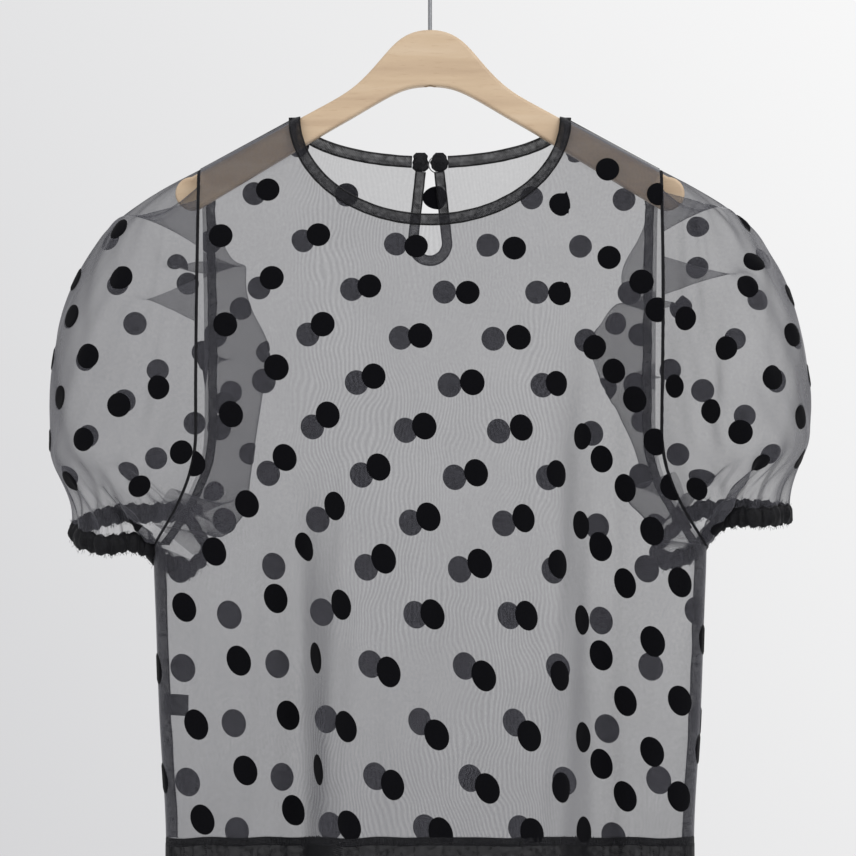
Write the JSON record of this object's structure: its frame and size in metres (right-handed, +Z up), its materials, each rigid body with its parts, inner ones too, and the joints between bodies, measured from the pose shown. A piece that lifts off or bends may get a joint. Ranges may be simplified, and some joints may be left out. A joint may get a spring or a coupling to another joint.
{
  "type": "blouse on a hanger",
  "caption": "Sheer dotted puff-sleeve blouse with a buttoned keyhole back, hanging on a wooden hanger with a swivelling wire hook.",
  "frame": {"origin": "underside of the wire at the top of the hook's bend, where it bears on a rail", "axes": "+Z up, +X to the right seen from the front, -Y to the front of the blouse"},
  "size_m": [0.605, 0.128, 0.7832],
  "materials": {
    "wire": "satin bent wire",
    "wood": "satin lacquered beech",
    "organza": "sheer crisp woven, with flocked round dots",
    "binding": "folded bias strip",
    "thread": "overlocked thread",
    "cuff": "gathered, frayed edge",
    "elastic": "woven elastic",
    "button": "gloss",
    "label": "blank satin tape"
  },
  "bodies": {
    "hook": {"hanger_hook": "wire"},
    "hanger": {"hanger_body": "wood", "hook_washer": "wire"},
    "blouse": {"front_panel": "organza", "back_panel": "organza", "neck_binding_front": "binding", "neck_binding_back_right": "binding", "neck_binding_back_left": "binding", "keyhole_tab_right": "binding", "keyhole_tab_left": "binding", "keyhole_binding": "binding", "neck_button": "button", "armhole_seam_right": "thread", "armhole_seam_left": "thread", "shoulder_seam_right": "thread", "shoulder_seam_left": "thread", "side_seam_right": "thread", "side_seam_left": "thread", "bottom_seam": "thread", "hem_band_front": "organza", "hem_band_back": "organza", "sleeve_left": "organza", "sleeve_right": "organza"},
    "loop": {"button_loop": "thread"},
    "label": {"care_label": "label"},
    "cuff_l": {"cuff_casing_left": "cuff", "cuff_elastic_left": "elastic"},
    "cuff_r": {"cuff_casing_right": "cuff", "cuff_elastic_right": "elastic"}
  },
  "joints": [
    {"name": "hook_swivel", "type": "hinge", "parent": "hook", "child": "hanger", "pos_m": [0, 0, -0.1], "axis": [0, 0, 1], "continuous": true},
    {"name": "blouse_lift", "type": "slide", "parent": "hanger", "child": "blouse", "axis": [0, 0, 1], "range_m": [0, 0.66]},
    {"name": "cuff_lift_left", "type": "hinge", "parent": "blouse", "child": "cuff_l", "pos_m": [-0.2235, 0, -0.472], "axis": [0, 1, 0], "range_deg": [0, 30], "deforming": ["sleeve_left"]},
    {"name": "cuff_lift_right", "type": "hinge", "parent": "blouse", "child": "cuff_r", "pos_m": [0.2235, 0, -0.472], "axis": [0, -1, 0], "range_deg": [0, 30], "deforming": ["sleeve_right"]},
    {"name": "loop_unhook", "type": "hinge", "parent": "blouse", "child": "loop", "pos_m": [-0.0014, 0.0183, -0.1815], "axis": [0, 0, 1], "range_deg": [0, 100]},
    {"name": "label_flap", "type": "hinge", "parent": "blouse", "child": "label", "pos_m": [-0.2138, 0.0102, -0.6165], "axis": [0, 0, 1], "range_deg": [-10, 60]}
  ]
}
